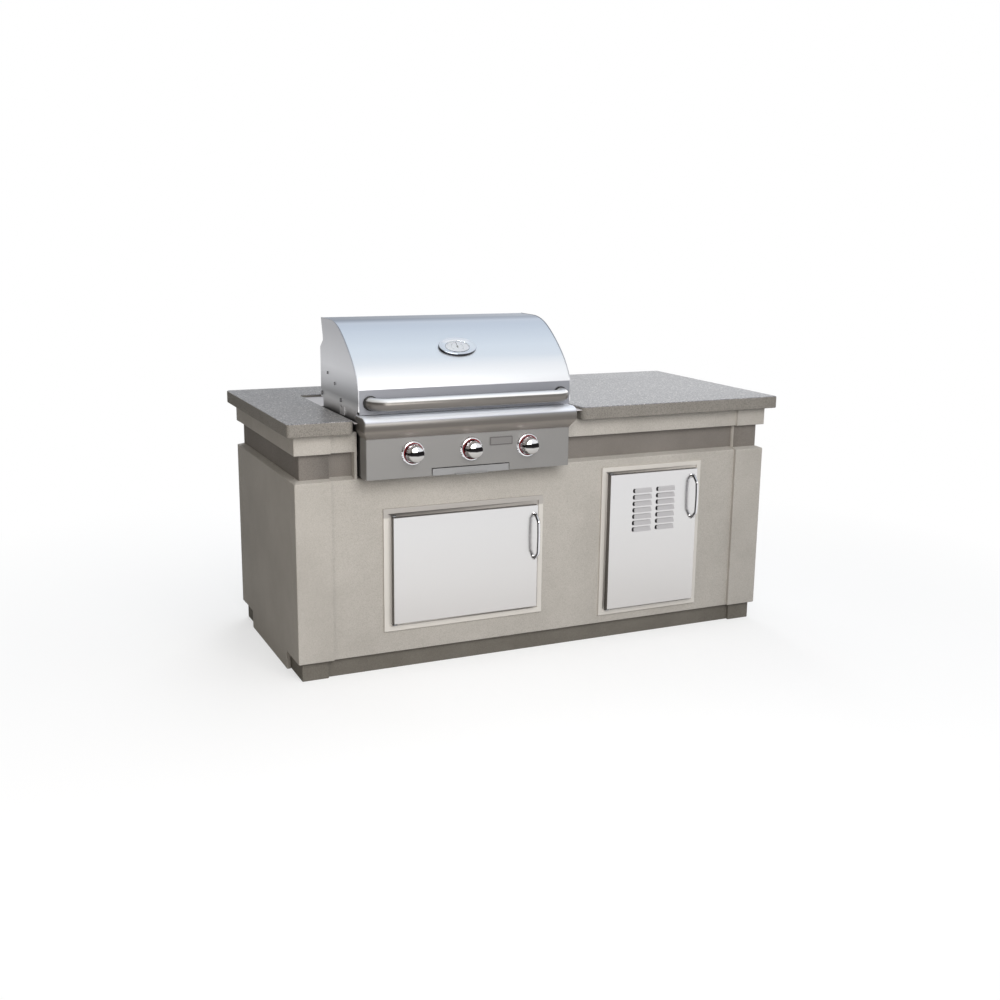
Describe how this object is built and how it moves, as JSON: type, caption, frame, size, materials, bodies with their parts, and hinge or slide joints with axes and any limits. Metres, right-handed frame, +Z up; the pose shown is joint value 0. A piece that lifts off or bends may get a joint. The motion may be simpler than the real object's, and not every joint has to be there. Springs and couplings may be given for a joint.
{
  "type": "outdoor kitchen island",
  "caption": "Cast concrete outdoor kitchen island with a hooded built-in gas grill, a wide access door and a tall louvred vent door.",
  "frame": {"origin": "on the floor, under the middle of the bounding box", "axes": "+X to the right along the front, -Y out of the front (doors and knobs), +Z up"},
  "size_m": [1.96, 0.972, 1.227],
  "materials": {
    "cast_wall": "cast concrete, fine sanded",
    "cast_counter": "cast concrete, ground and sealed",
    "cast_dark": "dark tinted cast concrete",
    "galvanised": "galvanised, matt",
    "stainless": "brushed stainless",
    "bright_stainless": "near-mirror polished stainless",
    "chrome": "polished",
    "dark_bush": "satin",
    "brass": "machined",
    "black_pipe": "black",
    "dial_face": "white",
    "dial_glass": "clear",
    "needle_paint": "dark"
  },
  "bodies": {
    "island": {"countertop": "cast_counter", "front_panel": "cast_wall", "left_panel": "cast_wall", "right_panel": "cast_wall", "back_panel": "cast_wall", "plinth_front": "cast_dark", "plinth_back": "cast_dark", "plinth_left": "cast_dark", "plinth_right": "cast_dark", "frame_base": "galvanised", "frame_posts": "galvanised", "frame_top": "galvanised", "grill_bearers": "galvanised", "cabinet_floor": "galvanised", "deck_plate": "stainless", "firebox": "stainless", "control_panel": "stainless", "bullnose": "bright_stainless", "badge_plate": "stainless", "gas_manifold": "black_pipe", "gas_valves": "brass", "burner_1": "stainless", "burner_2": "stainless", "burner_3": "stainless", "heat_plates": "stainless", "grate_1": "stainless", "grate_2": "stainless", "grate_3": "stainless", "warming_rack": "stainless", "knob_bezel_1": "chrome", "knob_bezel_2": "chrome", "knob_bezel_3": "chrome", "spit_brackets": "stainless", "left_door_frame": "stainless", "left_door_hinges": "stainless", "right_door_frame": "stainless", "right_door_hinges": "stainless", "door_catches": "black_pipe"},
    "hood": {"hood_skin": "stainless", "hood_end_left": "stainless", "hood_end_right": "stainless", "hood_hinge_pins": "stainless", "hood_handle": "chrome", "handle_bushings": "dark_bush", "thermometer_bezel": "chrome", "thermometer_dial": "dial_face", "thermometer_lens": "dial_glass", "hood_side_screws": "stainless"},
    "needle": {"thermometer_needle": "needle_paint"},
    "tray": {"drip_tray": "stainless"},
    "left_door_leaf": {"left_door": "bright_stainless", "left_door_handle": "chrome"},
    "right_door_leaf": {"right_door": "bright_stainless", "right_door_handle": "chrome"},
    "stem_1": {"valve_stem_1": "brass"},
    "knob_1": {"knob_1": "chrome"},
    "stem_2": {"valve_stem_2": "brass"},
    "knob_2": {"knob_2": "chrome"},
    "stem_3": {"valve_stem_3": "brass"},
    "knob_3": {"knob_3": "chrome"}
  },
  "joints": [
    {"name": "hood_hinge", "type": "hinge", "parent": "island", "child": "hood", "pos_m": [-0.34, 0, 0.957], "axis": [-1, 0, 0], "range_deg": [0, 90]},
    {"name": "thermometer_pivot", "type": "hinge", "parent": "hood", "child": "needle", "pos_m": [-0.34, -0.30603, 1.13702], "axis": [0, -0.6266, 0.7793], "range_deg": [-135, 135]},
    {"name": "drip_tray_slide", "type": "slide", "parent": "island", "child": "tray", "axis": [0, -1, 0], "range_m": [0, 0.3]},
    {"name": "left_door_hinge", "type": "hinge", "parent": "island", "child": "left_door_leaf", "pos_m": [-0.6, -0.366, 0.369], "axis": [0, 0, -1], "range_deg": [0, 105]},
    {"name": "right_door_hinge", "type": "hinge", "parent": "island", "child": "right_door_leaf", "pos_m": [0.261, -0.366, 0.386], "axis": [0, 0, -1], "range_deg": [0, 105]},
    {"name": "knob_1_turn", "type": "hinge", "parent": "island", "child": "stem_1", "pos_m": [-0.556, -0.44, 0.799], "axis": [0, -1, 0], "range_deg": [0, 135]},
    {"name": "knob_1_push", "type": "slide", "parent": "stem_1", "child": "knob_1", "axis": [0, 1, 0], "range_m": [0, 0.004], "stiffness_N_per_m": 800, "springref_m": -0.002},
    {"name": "knob_2_turn", "type": "hinge", "parent": "island", "child": "stem_2", "pos_m": [-0.34, -0.44, 0.799], "axis": [0, -1, 0], "range_deg": [0, 135]},
    {"name": "knob_2_push", "type": "slide", "parent": "stem_2", "child": "knob_2", "axis": [0, 1, 0], "range_m": [0, 0.004], "stiffness_N_per_m": 800, "springref_m": -0.002},
    {"name": "knob_3_turn", "type": "hinge", "parent": "island", "child": "stem_3", "pos_m": [-0.124, -0.44, 0.799], "axis": [0, -1, 0], "range_deg": [0, 135]},
    {"name": "knob_3_push", "type": "slide", "parent": "stem_3", "child": "knob_3", "axis": [0, 1, 0], "range_m": [0, 0.004], "stiffness_N_per_m": 800, "springref_m": -0.002}
  ]
}
